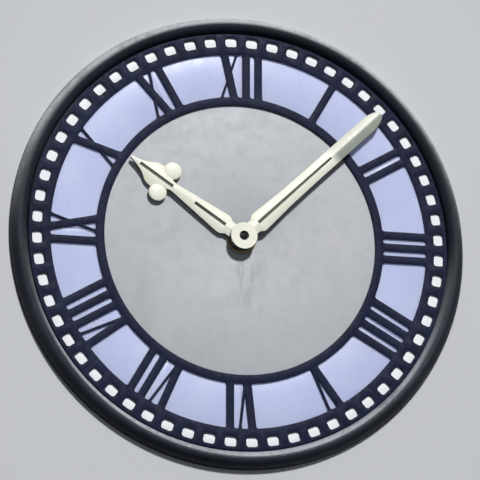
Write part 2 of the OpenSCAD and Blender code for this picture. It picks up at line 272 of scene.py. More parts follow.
def layered(tree, share, under, over):
    """One colour laid over another, where the share is 1. Either may be an (r, g, b) colour."""
    mix = tree.nodes.new("ShaderNodeMix")
    mix.data_type = "RGBA"
    tree.links.new(share, mix.inputs["Factor"])
    colour_sockets, result = mix.inputs[6:8], mix.outputs[2]
    for socket, colour in zip(colour_sockets, (under, over)):
        if isinstance(colour, tuple):
            socket.default_value = (*colour, 1)
        else:
            tree.links.new(colour, socket)
    return result


def place_along(tree, axis):
    """The place on the piece along one axis, in metres."""
    place = tree.nodes.new("ShaderNodeTexCoord")
    parts = tree.nodes.new("ShaderNodeSeparateXYZ")
    tree.links.new(place.outputs["Object"], parts.inputs[0])
    return parts.outputs[axis]


def facing(tree, axis, low, high):
    """How far the surface faces along an axis, from 0 to 1."""
    surface = tree.nodes.new("ShaderNodeNewGeometry")
    parts = tree.nodes.new("ShaderNodeSeparateXYZ")
    tree.links.new(surface.outputs["Normal"], parts.inputs[0])
    return between(tree, parts.outputs[axis], low, high)


def painted_on(tree, mark):
    """How far a mark made on the mesh holds, from 0 to 1."""
    attribute = tree.nodes.new("ShaderNodeAttribute")
    attribute.attribute_name = mark
    return attribute.outputs["Fac"]


def rubbed(tree, under, bare, amount):
    """Lays the bare colour along each rounded edge, broken up by a fine pattern."""
    edge = between(tree, painted_on(tree, "worn"), 0.35, 1.0)
    patchy = between(tree, noise(tree, 38, detail=6), 0.5, 0.68)
    return layered(tree, times(tree, times(tree, edge, patchy), amount), under, bare)


def surfaced(tree, colour, roughness, height, strength, distance):
    """Gives a finish its colour, its roughness and a fine relief."""
    shader = tree.nodes["Principled BSDF"]
    tree.links.new(colour, shader.inputs["Base Color"])
    tree.links.new(roughness, shader.inputs["Roughness"])
    bump = tree.nodes.new("ShaderNodeBump")
    bump.inputs["Strength"].default_value = strength
    bump.inputs["Distance"].default_value = distance
    tree.links.new(height, bump.inputs["Height"])
    tree.links.new(bump.outputs["Normal"], shader.inputs["Normal"])


def new_finish(name, metallic=0.0, specular=0.5):
    """A new material, with its node tree."""
    finish = bpy.data.materials.new(name)
    finish.use_nodes = True
    shader = finish.node_tree.nodes["Principled BSDF"]
    shader.inputs["Metallic"].default_value = metallic
    shader.inputs["Specular IOR Level"].default_value = specular
    return finish, finish.node_tree


def hang(name, bm, finish, body, node):
    """Stands a finished piece on the wall and puts it in the clock, in place of its plain solid."""
    bmesh.ops.recalc_face_normals(bm, faces=bm.faces)
    bmesh.ops.transform(bm, matrix=on_wall, verts=bm.verts)
    mesh = bpy.data.meshes.new(name)
    bm.to_mesh(mesh)
    bm.free()
    mesh.shade_smooth()
    mesh.set_sharp_from_angle(angle=math.radians(32))
    mesh.materials.append(finish)
    piece = bpy.data.objects.new(name, mesh)
    bpy.context.scene.collection.objects.link(piece)
    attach(piece, body)
    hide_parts(node)


def rim_paint():
    black, blue_black = (0.006, 0.008, 0.014), (0.012, 0.015, 0.023)
    low_dust_and_light, high_dust_and_light = (0.43, 0.45, 0.49), (0.47, 0.49, 0.52)
    rust_brown = (0.075, 0.045, 0.03)
    rubbed_grey = (0.13, 0.13, 0.14)
    finish, tree = new_finish("rim_paint", specular=0.15)
    broad = noise(tree, 5, detail=5)
    fine = noise(tree, 60, detail=6, roughness=0.65)
    colour = layered(tree, between(tree, broad, 0.35, 0.7), black, blue_black)
    height = place_along(tree, "Z")
    # Pale grey on upward faces, stronger higher up: part dust, part painted light for the sky's
    # light on them.
    dust_and_painted_light = reckoned(tree, "POWER", facing(tree, "Z", -0.05, 0.5),
                       between(tree, height, 0.2, 0.75, 5.0, 1.0))
    patchy = between(tree, reckoned(tree, "ADD", broad, fine), 0.75, 1.15, 0.6, 1.0)
    dust_and_light_colour = layered(tree, between(tree, height, 0.3, 1.3), low_dust_and_light, high_dust_and_light)
    colour = layered(tree, times(tree, dust_and_painted_light, patchy), colour, dust_and_light_colour)
    rust = between(tree, noise(tree, 24, detail=8, roughness=0.7), 0.66, 0.74)
    colour = layered(tree, rust, colour, rust_brown)
    colour = rubbed(tree, colour, rubbed_grey, amount=0.7)
    surfaced(tree, colour, between(tree, fine, 0.3, 0.7, 0.38, 0.6),
             reckoned(tree, "ADD", times(tree, fine, 0.4), broad), strength=0.35, distance=0.003)
    return finish


rim = bmesh.new()
turned(rim, [
    (lip_r, 0), (lip_r, moulding_foot_h),
    *arch(moulding_r, moulding_half_w, moulding_foot_h, crest_h - moulding_foot_h, steps=28),
    (moulding_r - moulding_half_w, glass_front_h), (ledge_in_r, glass_front_h),
    (ledge_in_r, glass_back_h), (channel_in_r, glass_back_h),
    *reversed(arch(moulding_r, moulding_half_w - rim_wall, moulding_foot_h,
                   crest_h - rim_wall - moulding_foot_h, steps=12)),
    (rim_r - lip_w, moulding_foot_h), (rim_r - lip_w, 0),
], steps=288)
eased(rim, width=0.0009)
for i in range(stud_count):
    turn = math.tau * (i + 0.5) / stud_count
    turned(rim, [
        (stud_hole_r, 0), (stud_boss_r, 0), (stud_boss_r, stud_boss_h), (0, stud_boss_h),
        (0, stud_depth), (stud_hole_r, stud_depth),
    ], middle=(stud_r * math.sin(turn), stud_r * math.cos(turn)), steps=24)
hang("rim_moulding", rim, rim_paint(), "dial", "rim")

# Minute track
# A quarter of the minute track is one casting: two rings joined by a bar at each minute, with a
# round-cornered window between the bars. Four of them lie on the rim's ledge and are bolted
# together through lugs at their backs. All the casting is painted blue-black.
cast_front_h = 0.026
cast_back_h = glass_front_h
track_in_r = 0.674
track_out_r = 0.751
track_rib_r = 0.694
rib_w = 0.006
window_r = 0.720
window_w = 0.042
window_h = 0.035
window_corner_r = 0.010
cast_bevel = 0.0025
sections = 4
windows_per_section = 15
minute_step = math.radians(6)
first_joint = math.radians(48)
lug_t = 0.009
lug_half_w = 0.013
lug_middle_r = 0.721
lug_back_h = -0.004
lug_bolt_h = 0.004


def dial_place(radius, turn, height=0.0):
    """A place on the dial, from a clockwise turn past twelve o'clock."""
    return Vector((radius * math.sin(turn), radius * math.cos(turn), height))


def clockwise(bm, turn):
    """Turns what is drawn at twelve o'clock to its own place on the dial."""
    bmesh.ops.rotate(bm, verts=bm.verts, cent=(0, 0, 0), matrix=Matrix.Rotation(-turn, 3, "Z"))


def squared(inner_r, outer_r, low_h, high_h):
    """The corners of a squared section, as (radius, height) points."""
    return [(inner_r, low_h), (outer_r, low_h), (outer_r, high_h), (inner_r, high_h)]


def swept(bm, section, start, sweep, steps):
    """Carries a closed section of (radius, height) points clockwise, and closes its ends."""
    points, edges = closed_outline(bm, [dial_place(radius, start, h) for radius, h in section])
    bm.faces.new(points)
    last = bmesh.ops.spin(bm, geom=points + edges, cent=(0, 0, 0), axis=(0, 0, 1), angle=-sweep,
                          steps=steps)["geom_last"]
    bmesh.ops.contextual_create(bm, geom=[e for e in last if isinstance(e, bmesh.types.BMEdge)])


def oblong(bm, middle_y, width, length):
    """A flat oblong on the line from the centre to twelve o'clock."""
    place = Matrix.Translation((0, middle_y, 0)) @ Matrix.Diagonal((width, length, 1, 1))
    return bmesh.ops.create_grid(bm, x_segments=1, y_segments=1, size=0.5, matrix=place)["verts"]


def bar(bm, low, high):
    """A plain squared bar between two corners, before its edges are eased."""
    low, high = Vector(low), Vector(high)
    place = Matrix.Translation((low + high) / 2) @ Matrix.Diagonal((*(high - low), 1))
    return bmesh.ops.create_cube(bm, size=1, matrix=place)["verts"]


def bolt(bm, place, axis, across, head_h, washer_r):
    """A hexagon bolt head with a chamfered crown, on a round washer."""
    stand = Matrix.Translation(place) @ Vector(axis).to_track_quat("Z", "Y").to_matrix().to_4x4()
    washer_h = 0.0015
    half_way = washer_h + head_h / 2
    bmesh.ops.create_cone(bm, cap_ends=True, segments=20, radius1=washer_r,
                          radius2=washer_r * 0.95, depth=washer_h,
                          matrix=stand @ Matrix.Translation((0, 0, washer_h / 2)))
    head = bmesh.ops.create_cone(bm, cap_ends=True, segments=6, radius1=across / 2,
                                 radius2=across / 2, depth=head_h,
                                 matrix=stand @ Matrix.Translation((0, 0, half_way)))["verts"]
    top = {v for v in head if (v.co - Vector(place)).dot(Vector(axis)) > half_way}
    crown = [e for e in bm.edges if top.issuperset(e.verts)]
    bevelled(bm, crown, head_h * 0.22, segments=1)


def added(bm, part):
    """Puts a part that was drawn on its own into a piece."""
    carrier = bpy.data.meshes.new("part")
    part.to_mesh(carrier)
    part.free()
    bm.from_mesh(carrier)
    bpy.data.meshes.remove(carrier)


def extruded(bm, faces):
    """Copies faces and walls in the space between. Gives the copy's points."""
    made = bmesh.ops.extrude_face_region(bm, geom=faces, use_keep_orig=True)["geom"]
    return [v for v in made if isinstance(v, bmesh.types.BMVert)]


def thickened(bm, low_h, high_h):
    """Gives a flat drawing its thickness, from its back to its front."""
    bmesh.ops.translate(bm, verts=bm.verts, vec=(0, 0, low_h))
    front = extruded(bm, list(bm.faces))
    bmesh.ops.translate(bm, verts=front, vec=(0, 0, high_h - low_h))
    bmesh.ops.recalc_face_normals(bm, faces=bm.faces)


def on_front(edge):
    """Whether an edge is one of those round the casting's front face."""
    return min(v.co.z for v in edge.verts) > cast_front_h - 0.001


def casting_paint():
    blue_black, dark_blue = (0.003, 0.005, 0.022), (0.006, 0.010, 0.034)
    chalky_blue = (0.03, 0.036, 0.055)
    dust_grey = (0.1, 0.11, 0.14)
    rust_brown = (0.06, 0.03, 0.02)
    rubbed_grey = (0.09, 0.09, 0.1)
    finish, tree = new_finish("casting_paint", specular=0.15)
    broad = noise(tree, 7, detail=5)
    fine = noise(tree, 90, detail=6, roughness=0.65)
    colour = layered(tree, between(tree, broad, 0.35, 0.7), blue_black, dark_blue)
    chalk = times(tree, between(tree, fine, 0.52, 0.72), between(tree, broad, 0.5, 0.7))
    colour = layered(tree, times(tree, chalk, 0.5), colour, chalky_blue)
    colour = layered(tree, times(tree, facing(tree, "Z", 0.3, 0.9), 0.3), colour, dust_grey)
    rust = between(tree, noise(tree, 30, detail=8, roughness=0.7), 0.68, 0.75)
    colour = layered(tree, rust, colour, rust_brown)
    colour = rubbed(tree, colour, rubbed_grey, amount=0.6)
    surfaced(tree, colour, between(tree, fine, 0.3, 0.7, 0.5, 0.7), fine, strength=0.25,
             distance=0.0012)
    return finish


def minute_casting(bm):
    """One minute of the track, drawn flat at twelve o'clock with its window cut out."""
    ends = []
    for radius in (track_in_r, track_out_r):
        start = bm.verts.new(dial_place(radius, -minute_step / 2))
        last = bmesh.ops.spin(bm, geom=[start], cent=(0, 0, 0), axis=(0, 0, 1),
                              angle=-minute_step, steps=6)["geom_last"]
        ends.append((start, last[0]))
    for side in (0, 1):
        bm.edges.new((ends[0][side], ends[1][side]))
    window = oblong(bm, window_r, window_w, window_h)
    bevelled(bm, window, window_corner_r, segments=5, affect="VERTICES")
    bmesh.ops.delete(bm, geom=list(bm.faces), context="FACES_ONLY")
    bmesh.ops.bridge_loops(bm, edges=list(bm.edges))


def joint_lug(side):
    """The lug at one end of a quarter, drawn at twelve o'clock, with its bolt."""
    bm = bmesh.new()
    left, right = sorted((0, -side * lug_t))
    bar(bm, (left, lug_middle_r - lug_half_w, lug_back_h),
        (right, lug_middle_r + lug_half_w, cast_back_h + cast_overlap))
    round_ends = [e for e in bm.edges if all(abs(v.co.z - lug_back_h) < 1e-6 for v in e.verts)
                  and abs(e.verts[0].co.x - e.verts[1].co.x) > 1e-4]
    bevelled(bm, round_ends, lug_half_w * 0.98, segments=8)
    bolt(bm, (-side * lug_t, lug_middle_r, lug_bolt_h), (-side, 0, 0), across=0.014, head_h=0.005,
         washer_r=0.009)
    return bm


casting = casting_paint()
quarter = math.tau / sections
for number in range(sections):
    track = bmesh.new()
    minute_casting(track)
    window_sweep = minute_step * (windows_per_section - 1)
    bmesh.ops.spin(track, geom=[*track.verts, *track.edges, *track.faces], cent=(0, 0, 0),
                   axis=(0, 0, 1), angle=-window_sweep, steps=windows_per_section - 1,
                   use_duplicate=True)
    bmesh.ops.remove_doubles(track, verts=track.verts, dist=1e-5)
    middle = first_joint + (number - 0.5) * quarter
    clockwise(track, middle - window_sweep / 2)
    thickened(track, cast_back_h, cast_front_h)
    eased(track, width=cast_bevel, only=on_front)
    rib = squared(track_rib_r - rib_w / 2, track_rib_r + rib_w / 2, glass_back_h,
                  cast_back_h + cast_overlap)
    swept(track, rib, middle - quarter / 2, quarter, steps=60)
    for side in (-1, 1):
        lug = joint_lug(side)
        clockwise(lug, middle + side * quarter / 2)
        added(track, lug)
    hang(f"minute_track_{number + 1}", track, casting, "dial",
         f"track_section_{number + 1}")

# Inner ring
# The ring that the numerals stand on, cast with them. A rib at its back keeps the glass and the
# centre plate apart.
ring_in_r = 0.486
ring_out_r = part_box("inner_ring")[1].x - dial_centre.x
ring_rib_r = 0.500

ring = bmesh.new()
turned(ring, [
    (ring_in_r, cast_back_h), (ring_rib_r - rib_w / 2, cast_back_h),
    (ring_rib_r - rib_w / 2, glass_back_h), (ring_rib_r + rib_w / 2, glass_back_h),
    (ring_rib_r + rib_w / 2, cast_back_h), (ring_out_r, cast_back_h),
    (ring_out_r, cast_front_h), (ring_in_r, cast_front_h),
])
eased(ring, width=cast_bevel, only=on_front)
hang("inner_ring_casting", ring, casting, "dial", "inner_ring")

# Numerals
# Roman numerals with their heads outwards. Thick strokes and hairlines are straight bars that join
# the two rings, with the small fillets that a casting has where they meet.
numerals = ["I", "II", "III", "IIII", "V", "VI", "VII", "VIII", "IX", "X", "XI", "XII"]
stroke_w = 0.027
hairline_w = 0.009
letter_w = 0.062
letter_gap = 0.017
stroke_sink = 0.006
stroke_front_h = cast_front_h - 0.0003
hairline_front_h = cast_front_h - 0.0006
fillet = [(0.0, 0.0045), (0.002, 0.0022), (0.005, 0.0007), (0.010, 0.0)]
lean = (letter_w - stroke_w) / 2
hairline_lean = (letter_w - hairline_w) / 2
thick, thin = (stroke_w, stroke_front_h), (hairline_w, hairline_front_h)
letter_strokes = {
    "I": [(0, 0, *thick)],
    "V": [(0, -lean, *thick), ((stroke_w - hairline_w) / 2, hairline_lean, *thin)],
    "X": [(lean, -lean, *thick), (-hairline_lean, hairline_lean, *thin)],
}


def stroke(bm, foot_x, head_x, width, front_h):
    """One bar of a numeral, from inside the inner ring to inside the track, with filleted ends."""
    length = track_in_r - ring_out_r
    stops = [(-stroke_sink, fillet[0][1]), *fillet]
    stops += [(length - along, wider) for along, wider in reversed(stops)]
    rows = len(stops)
    before = set(bm.faces)
    drawn = bmesh.ops.create_grid(bm, x_segments=1, y_segments=rows - 1, size=1)["verts"]
    for v in drawn:
        along, wider = stops[round((v.co.y + 1) / 2 * (rows - 1))]
        x = foot_x + (head_x - foot_x) * along / length
        x += math.copysign(width / 2 + wider, v.co.x)
        ring_r = ring_out_r if along < length / 2 else track_in_r
        curve_down = ring_r - math.sqrt(ring_r ** 2 - x * x)
        v.co = (x, ring_out_r + along - curve_down, cast_back_h)
    front = extruded(bm, [f for f in bm.faces if f not in before])
    bmesh.ops.translate(bm, verts=front, vec=(0, 0, front_h - cast_back_h))


def numeral(letters, turn):
    """A numeral's letters side by side, turned to its hour."""
    bm = bmesh.new()
    widths = [stroke_w if letter == "I" else letter_w for letter in letters]
    left = -(sum(widths) + letter_gap * (len(letters) - 1)) / 2
    for letter, width in zip(letters, widths):
        middle = left + width / 2
        for foot_x, head_x, stroke_width, front_h in letter_strokes[letter]:
            stroke(bm, middle + foot_x, middle + head_x, stroke_width, front_h)
        left += width + letter_gap
    bmesh.ops.recalc_face_normals(bm, faces=bm.faces)
    eased(bm, width=0.0022, only=on_front)
    clockwise(bm, turn)
    return bm


for hour, letters in enumerate(numerals, 1):
    hang(f"chapter_numeral_{hour}", numeral(letters, hour * math.tau / 12), casting, "dial",
         f"numeral_{hour}")

# Opal glass
# Twelve panes of opal glass behind the chapter and four strips behind the minute windows, cut to
# the ring and laid in from behind, with a hair's gap between one sheet and the next. The glass is
# milky right through, so it is bright under the open sky, with a soft shine. The panes' blue is
# partly their own tint and partly a painted reflection of the sky.
glass_play = 0.0005
glass_gap = 0.0012
glass_face_h = glass_front_h - 0.0002
pane_in_r = ring_rib_r + rib_w / 2 + glass_play
pane_out_r = track_rib_r - rib_w / 2 - glass_play
strip_in_r = track_rib_r + rib_w / 2 + glass_play
strip_out_r = ledge_in_r - 0.002
strip_end_gap = 2 * (lug_t + 0.001)
glass_ease = 0.0006


def opal(name, colour, cloud, dirt_share, milkiness):
    """Milky glass with soft clouds in it and a little dirt in streaks."""
    dirty = tuple(0.78 * c for c in cloud)
    finish, tree = new_finish(name, specular=0.12)
    soft = noise(tree, 6, detail=3)
    streak = noise(tree, 22, detail=5, stretch=(1, 1, 0.35))
    milk = layered(tree, between(tree, soft, 0.3, 0.75), colour, cloud)
    milk = layered(tree, times(tree, between(tree, streak, 0.55, 0.8), dirt_share), milk, dirty)
    surfaced(tree, milk, between(tree, streak, 0.3, 0.8, 0.25, 0.4), soft, strength=0.12,
             distance=0.002)
    shader = tree.nodes["Principled BSDF"]
    shader.inputs["Subsurface Weight"].default_value = milkiness
    shader.inputs["Subsurface Radius"].default_value = (1, 1, 1)
    shader.inputs["Subsurface Scale"].default_value = 0.018
    return finish


# The panes' blue is partly the glass's own tint and partly a painted reflection of the sky.
pane_opal_and_painted_sky = opal("opal_glass", colour=(0.54, 0.59, 0.94), cloud=(0.585, 0.625, 0.95),
                 dirt_share=0.3, milkiness=0.7)
gap = glass_gap / pane_in_r
for hour in range(1, 13):
    pane = bmesh.new()
    swept(pane, squared(pane_in_r, pane_out_r, glass_back_h, glass_face_h),
          hour * math.tau / 12 + gap / 2, math.tau / 12 - gap, steps=24)
    bmesh.ops.recalc_face_normals(pane, faces=pane.faces)
    eased(pane, width=glass_ease)
    hang(f"opal_pane_{hour}", pane, pane_opal_and_painted_sky, "dial", f"pane_{hour}")

strip_opal = opal("track_opal", colour=(0.94, 0.96, 0.99), cloud=(0.96, 0.97, 0.99),
                  dirt_share=0.1, milkiness=0.0)
strip = bmesh.new()
gap = strip_end_gap / track_rib_r
for number in range(sections):
    swept(strip, squared(strip_in_r, strip_out_r, glass_back_h, glass_face_h),
          first_joint + (number - 1) * quarter + gap / 2, quarter - gap, steps=72)
bmesh.ops.recalc_face_normals(strip, faces=strip.faces)
eased(strip, width=glass_ease)
hang("minute_opal", strip, strip_opal, "dial", "track_glass")

# Centre plate
# A plain sheet-iron plate inside the inner ring. Its pale grey paint is matt and mottled, with
# faint runs where the rain comes down it and a stain below the bush.
plate_r = ring_rib_r - rib_w / 2 - glass_play
bush_r = 0.030


def centre_paint():
    pale_grey, light_grey = (0.50, 0.535, 0.55), (0.545, 0.55, 0.58)
    mottled_grey = (0.46, 0.475, 0.49)
    rain_brown = (0.43, 0.42, 0.4)
    stain_grey = (0.2, 0.2, 0.2)
    finish, tree = new_finish("centre_paint", specular=0.3)
    broad = noise(tree, 3.2, detail=4)
    mottle = noise(tree, 26, detail=6, roughness=0.62)
    runs = noise(tree, 16, detail=5, stretch=(1, 1, 0.16))
    colour = layered(tree, between(tree, broad, 0.3, 0.75), pale_grey, light_grey)
    mottled = times(tree, between(tree, mottle, 0.42, 0.7), 0.45)
    colour = layered(tree, mottled, colour, mottled_grey)
    colour = layered(tree, times(tree, between(tree, runs, 0.56, 0.8), 0.4), colour, rain_brown)
    across, up = place_along(tree, "X"), place_along(tree, "Z")
    left = between(tree, across, dial_centre.x - 0.05, dial_centre.x + 0.02)
    right = between(tree, across, dial_centre.x + 0.03, dial_centre.x + 0.11, 1, 0)
    foot = between(tree, up, dial_centre.z - 0.34, dial_centre.z - 0.09)
    head = between(tree, up, dial_centre.z - 0.04, dial_centre.z, 1, 0)
    below_bush = times(tree, times(tree, left, right), times(tree, foot, head))
    streaks = between(tree, noise(tree, 45, detail=4, stretch=(1, 1, 0.22)), 0.42, 0.66, 0.05, 0.5)
    colour = layered(tree, times(tree, below_bush, streaks), colour, stain_grey)
    surfaced(tree, colour, between(tree, mottle, 0.3, 0.7, 0.5, 0.7),
             reckoned(tree, "ADD", times(tree, mottle, 0.2), broad), strength=0.2, distance=0.003)
    return finish


plate = bmesh.new()
turned(plate, squared(bush_r, plate_r, glass_back_h, glass_front_h))
eased(plate, width=0.0006)
hang("centre_disc", plate, centre_paint(), "dial", "centre_plate")

# Retaining rings
# Three flat rings of bar iron behind the dial hold the glass and the plate against the casting.
# They are held by cheese-head screws, and are of the same dull black iron as the arms.
ring_back_h = 0.005
screw_head_r = 0.0042
screw_head_h = 0.0022
retaining_rings = {
    "outer": (ledge_in_r - 0.007, ledge_out_r - 0.004, 0.753, 32),
    "middle": (track_rib_r - 0.011, track_rib_r + 0.011, track_rib_r, 24),
    "inner": (ring_rib_r - 0.012, ring_rib_r + 0.012, ring_rib_r, 16),
}


def bare_iron():
    iron_black, iron_grey = (0.032, 0.033, 0.037), (0.06, 0.058, 0.058)
    rust_brown = (0.11, 0.05, 0.025)
    rubbed_grey = (0.2, 0.19, 0.18)
    finish, tree = new_finish("bare_iron", metallic=0.15, specular=0.4)
    broad = noise(tree, 9, detail=6)
    fine = noise(tree, 110, detail=7, roughness=0.7)
    colour = layered(tree, between(tree, broad, 0.35, 0.7), iron_black, iron_grey)
    rust = times(tree, between(tree, broad, 0.5, 0.72), between(tree, fine, 0.45, 0.65))
    colour = layered(tree, times(tree, rust, 0.8), colour, rust_brown)
    colour = rubbed(tree, colour, rubbed_grey, amount=0.8)
    surfaced(tree, colour, between(tree, fine, 0.3, 0.7, 0.45, 0.75), fine, strength=0.3,
             distance=0.0012)
    return finish


def screws(bm, radius, count, face_h):
    """A ring of round screw heads on the back of a retaining ring."""
    for i in range(count):
        place = dial_place(radius, math.tau * (i + 0.5) / count, face_h - screw_head_h / 2)
        bmesh.ops.create_cone(bm, cap_ends=True, segments=12, radius1=screw_head_r * 0.88,
                              radius2=screw_head_r, depth=screw_head_h,
                              matrix=Matrix.Translation(place))


iron = bare_iron()
for name, (inner_r, outer_r, screw_r, screw_count) in retaining_rings.items():
    retainer = bmesh.new()
    turned(retainer, squared(inner_r, outer_r, ring_back_h, glass_back_h - 0.0001))
    eased(retainer, width=0.001)
    screws(retainer, screw_r, screw_count, ring_back_h)
    hang(f"{name}_retaining_ring", retainer, iron, "dial", f"{name}_retainer")

# Back arms
# Four iron arms with round ends and a tapered rib down the back of each. They are bolted to the
# inner ring and meet in a hub that carries the bush.
arm_front_h = 0.005
arm_back_h = -0.005
arm_w = 0.050
arm_rib_w = 0.010
arm_rib_depth = 0.016
arm_rib_tip_depth = 0.003
hub_r = 0.064
arm_start_r = hub_r - 0.006
arm_rib_start_r = hub_r - 0.004
arm_end_r = ring_rib_r - 0.012
arm_tip_r = arm_end_r + arm_w / 2

arms = bmesh.new()
turned(arms, squared(bush_r, hub_r, arm_back_h, arm_front_h), steps=96)
for i in range(4):
    arm = bmesh.new()
    oblong(arm, (arm_start_r + arm_tip_r) / 2, arm_w, arm_tip_r - arm_start_r)
    round_end = [v for v in arm.verts if v.co.y > arm_end_r]
    bevelled(arm, round_end, arm_w * 0.499, segments=12, affect="VERTICES")
    bmesh.ops.remove_doubles(arm, verts=arm.verts, dist=0.0003)
    thickened(arm, arm_back_h, arm_front_h)
    rib = bar(arm, (-arm_rib_w / 2, arm_rib_start_r, arm_back_h - arm_rib_depth),
              (arm_rib_w / 2, arm_end_r - arm_w / 2, arm_back_h + cast_overlap))
    for v in rib:
        if v.co.z < arm_back_h and v.co.y > hub_r:
            v.co.z = arm_back_h - arm_rib_tip_depth
            v.co.y -= arm_w / 2
    bmesh.ops.recalc_face_normals(arm, faces=arm.faces)
    eased(arm, width=0.0018)
    bolt(arm, (0, ring_rib_r, arm_back_h), (0, 0, -1), across=0.017, head_h=0.007, washer_r=0.012)
    clockwise(arm, math.radians(45 + 90 * i))
    added(arms, arm)
hang("back_arm_spider", arms, iron, "dial", "back_arms")

# Bush
# The bearing of the hands: a turned brass bush through the plate and the hub, with a flange in
# front and a hexagon nut behind.
bush_bore_r = 0.02006
bush_back_h = -0.039
flange_r = bush_r + 0.024
flange_front_h = cast_back_h + 0.005
nut_corner_r = bush_r + 0.016
nut_hole_r = bush_r + 0.0003
nut_t = 0.014


def turned_metal(name, dark, light, metallic, rough):
    """Metal as it comes off the lathe, dulled, with black grease and painted shade where the mesh
    is marked for it.
    """
    grease_and_shade_black = (0.006, 0.006, 0.006)
    finish, tree = new_finish(name, metallic=metallic)
    cuts = noise(tree, 3, detail=2, stretch=(2, 320, 2))
    smear = noise(tree, 40, detail=5)
    colour = layered(tree, between(tree, smear, 0.35, 0.7), light, dark)
    colour = layered(tree, painted_on(tree, "grease_and_shade"), colour, grease_and_shade_black)
    surfaced(tree, colour, between(tree, smear, 0.3, 0.7, rough, rough + 0.2), cuts,
             strength=0.15, distance=0.0004)
    return finish


brass = turned_metal("bush_brass", dark=(0.05, 0.04, 0.022), light=(0.12, 0.09, 0.045),
                     metallic=0.6, rough=0.4)
bush = bmesh.new()
turned(bush, [
    (bush_bore_r, bush_back_h), (bush_r, bush_back_h), (bush_r, cast_back_h),
    (flange_r, cast_back_h), (flange_r, flange_front_h), (bush_bore_r, flange_front_h),
], steps=96)
eased(bush, width=0.0012)
hang("turned_bush", bush, brass, "dial", "centre_bush")

nut = bmesh.new()
bmesh.ops.create_circle(nut, cap_ends=False, segments=48, radius=nut_hole_r)
bmesh.ops.create_circle(nut, cap_ends=False, segments=6, radius=nut_corner_r)
bmesh.ops.bridge_loops(nut, edges=list(nut.edges))
thickened(nut, arm_back_h - nut_t, arm_back_h)
eased(nut, width=0.0015)
hang("hexagon_nut", nut, iron, "dial", "bush_nut")

# Hour hand
# A sheet-metal hand on the hour pipe: a ridged shaft that tapers from round shoulders, two domed
# balls, and a point that narrows in a double curve. It is painted cream, with black on its back and
# sides that also serves as painted shade, near-black in the two seams along its ridge that is dirt
# and painted shade of the grooves, and the cream worn thin along its edges.
hour_turn = math.radians(303.85)
pipe_r = 0.020
pipe_bore_r = 0.01206
pipe_end_r = 0.018
pipe_back_h = -0.095
pipe_step_h = pipe_back_h + 0.049
hour_back_h = 0.031
edge_t = 0.0035
ridge_t = 0.012
ridge_half_w = 0.040
neck_half_w = 0.026
shoulder_half_w = 0.037
boss_r = 0.047
hour_length = 0.480
ball_r = 0.032
ball_x = 0.0475
ball_y = 0.332
ball_top_t = ridge_t - 0.002
seam_start = 0.074
seam_end = 0.440
seam_half_w = 0.006
seam_depth = 0.004
seam_wall = 0.0007
seam_end_wall = 0.0006
first_seam_end = 0.205
second_seam_start = 0.300
# Beyond the minute hand's seam its paint is greyed: soil on the left facet, and on the ridge and
# right-hand facet also painted shade of the side that turns from the light.
soil_and_shade_fade = 0.03
soil_left, ridge_soil_and_shade, right_soil_and_shade = 0.35, 0.9, 1.0


def hand_paint():
    cream, light_cream = (0.90, 0.89, 0.74), (0.94, 0.93, 0.82)
    yellowed = (0.62, 0.60, 0.46)
    seam_dirt_and_shade = (0.03, 0.03, 0.022)
    soil_and_shade_grey = (0.31, 0.34, 0.29)
    rubbed_brown = (0.45, 0.42, 0.33)
    back_black_and_shade = (0.012, 0.012, 0.014)
    finish, tree = new_finish("hand_paint", specular=0.4)
    broad = noise(tree, 9, detail=4)
    fine = noise(tree, 70, detail=6, roughness=0.65)
    colour = layered(tree, between(tree, broad, 0.3, 0.75), cream, light_cream)
    colour = layered(tree, times(tree, between(tree, fine, 0.55, 0.75), 0.35), colour, yellowed)
    # Near-black in the seams: dirt, and painted shade of the narrow grooves.
    colour = layered(tree, between(tree, painted_on(tree, "seam"), 0.2, 0.7), colour, seam_dirt_and_shade)
    # Grey over the outer part of the minute hand: soil, and painted shade on its ridge and
    # right-hand facet.
    soiled_and_shaded = times(tree, painted_on(tree, "soil_and_shade"), between(tree, broad, 0.2, 0.6, 0.75, 0.95))
    colour = layered(tree, soiled_and_shaded, colour, soil_and_shade_grey)
    colour = rubbed(tree, colour, rubbed_brown, amount=0.5)
    # Backs and sides are black paint, which also stands in as painted shade along the hands' lower
    # edges.
    colour = layered(tree, facing(tree, "Y", -0.5, -0.15), colour, back_black_and_shade)
    surfaced(tree, colour, between(tree, fine, 0.3, 0.7, 0.32, 0.5),
             reckoned(tree, "ADD", times(tree, fine, 0.2), broad), strength=0.15, distance=0.0015)
    return finish


def curved(a, b, c, d, steps=8):
    """Points along a curve from one end to the other, drawn towards two points between them."""
    a, b, c, d = Vector(a), Vector(b), Vector(c), Vector(d)
    path = []
    for i in range(steps + 1):
        t = i / steps
        s = 1 - t
        path.append(s ** 3 * a + 3 * s * s * t * b + 3 * s * t * t * c + t ** 3 * d)
    return path


def shoulder():
    """The outline of both hands from inside the boss to the widest place of the shaft."""
    return [
        Vector((neck_half_w, 0.02)),
        *curved((neck_half_w, 0.054), (neck_half_w, 0.066), (shoulder_half_w, 0.064),
                (shoulder_half_w, 0.084)),
    ]


def with_row(side, along):
    """Adds a point on a hand's outline at a distance from the centre."""
    for i in range(1, len(side)):
        low, high = side[i - 1], side[i]
        if low.y < along < high.y:
            return side[:i] + [low.lerp(high, (along - low.y) / (high.y - low.y))] + side[i:]
    return side


